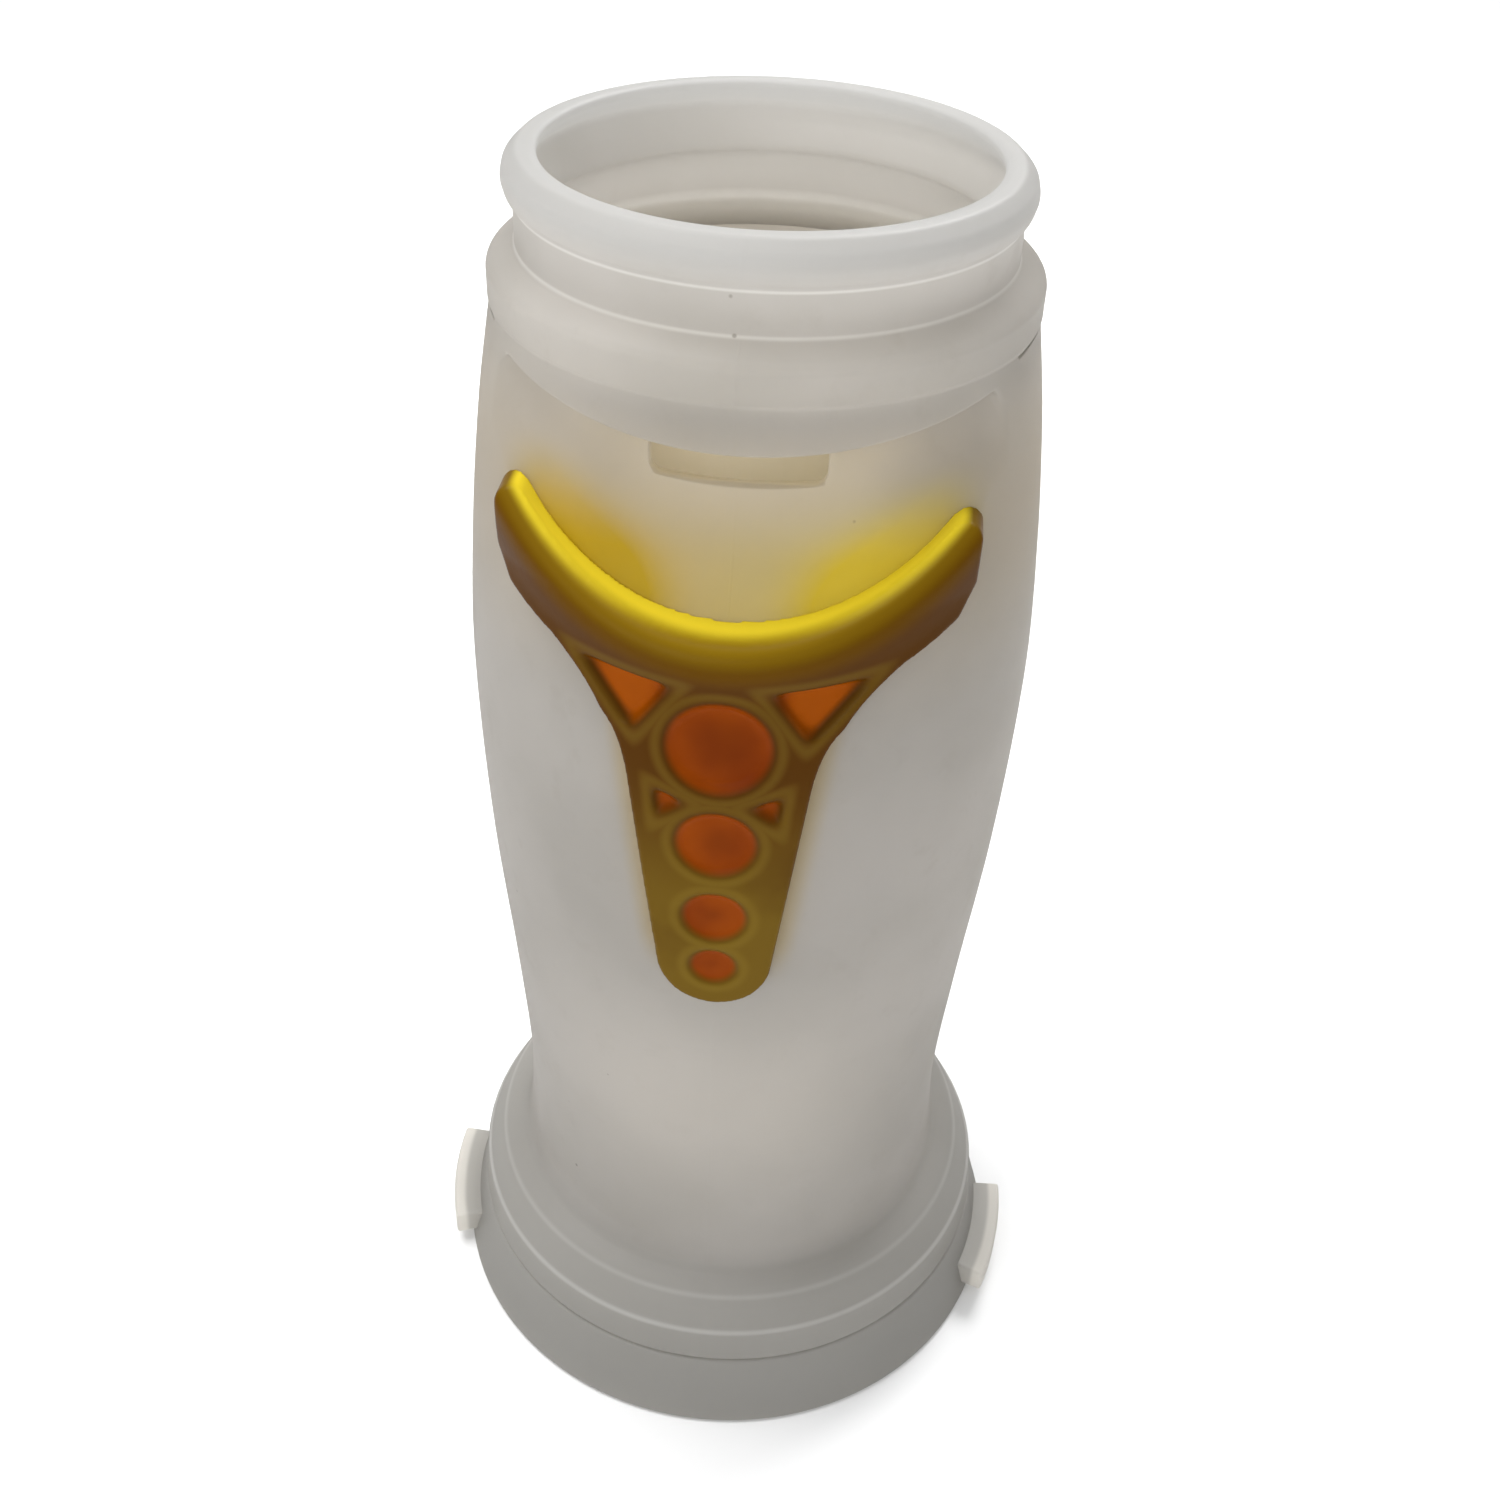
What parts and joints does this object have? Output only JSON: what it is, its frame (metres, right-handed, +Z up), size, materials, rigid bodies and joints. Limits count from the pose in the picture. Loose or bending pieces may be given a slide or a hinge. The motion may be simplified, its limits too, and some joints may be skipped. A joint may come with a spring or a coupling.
{
  "type": "wasp trap",
  "caption": "Free-standing bottle-shaped insect trap with a landing perch under a hooded entry slot and a twist-off base holding a bait cup.",
  "frame": {"origin": "centre of the base ring's standing face", "axes": "+Z up through the neck, -Y out of the entrance porch, +X to the right of the entrance porch"},
  "size_m": [0.104, 0.0982, 0.2],
  "materials": {
    "frosted_plastic": "translucent, fine satin frost",
    "yellow_plastic": "slightly translucent, semi-gloss",
    "clear_inner_plastic": "translucent, satin",
    "seal_rubber": "matt",
    "bait_felt": "felted"
  },
  "bodies": {
    "base": {"base_ring": "frosted_plastic", "base_seal": "seal_rubber"},
    "housing": {"trap_body": "frosted_plastic", "landing_perch": "yellow_plastic", "entry_baffle": "clear_inner_plastic"},
    "cup": {"bait_cup": "clear_inner_plastic", "bait_pad": "bait_felt"},
    "cover": {"bait_cover": "clear_inner_plastic"}
  },
  "joints": [
    {"name": "housing_twist", "type": "hinge", "parent": "base", "child": "housing", "pos_m": [0, 0, 0.0125], "axis": [0, 0, 1], "range_deg": [0, 20]},
    {"name": "cup_lift", "type": "slide", "parent": "base", "child": "cup", "axis": [0, 0, 1], "range_m": [0, 0.012]},
    {"name": "cover_lift", "type": "slide", "parent": "cup", "child": "cover", "axis": [0, 0, 1], "range_m": [0, 0.008]}
  ]
}
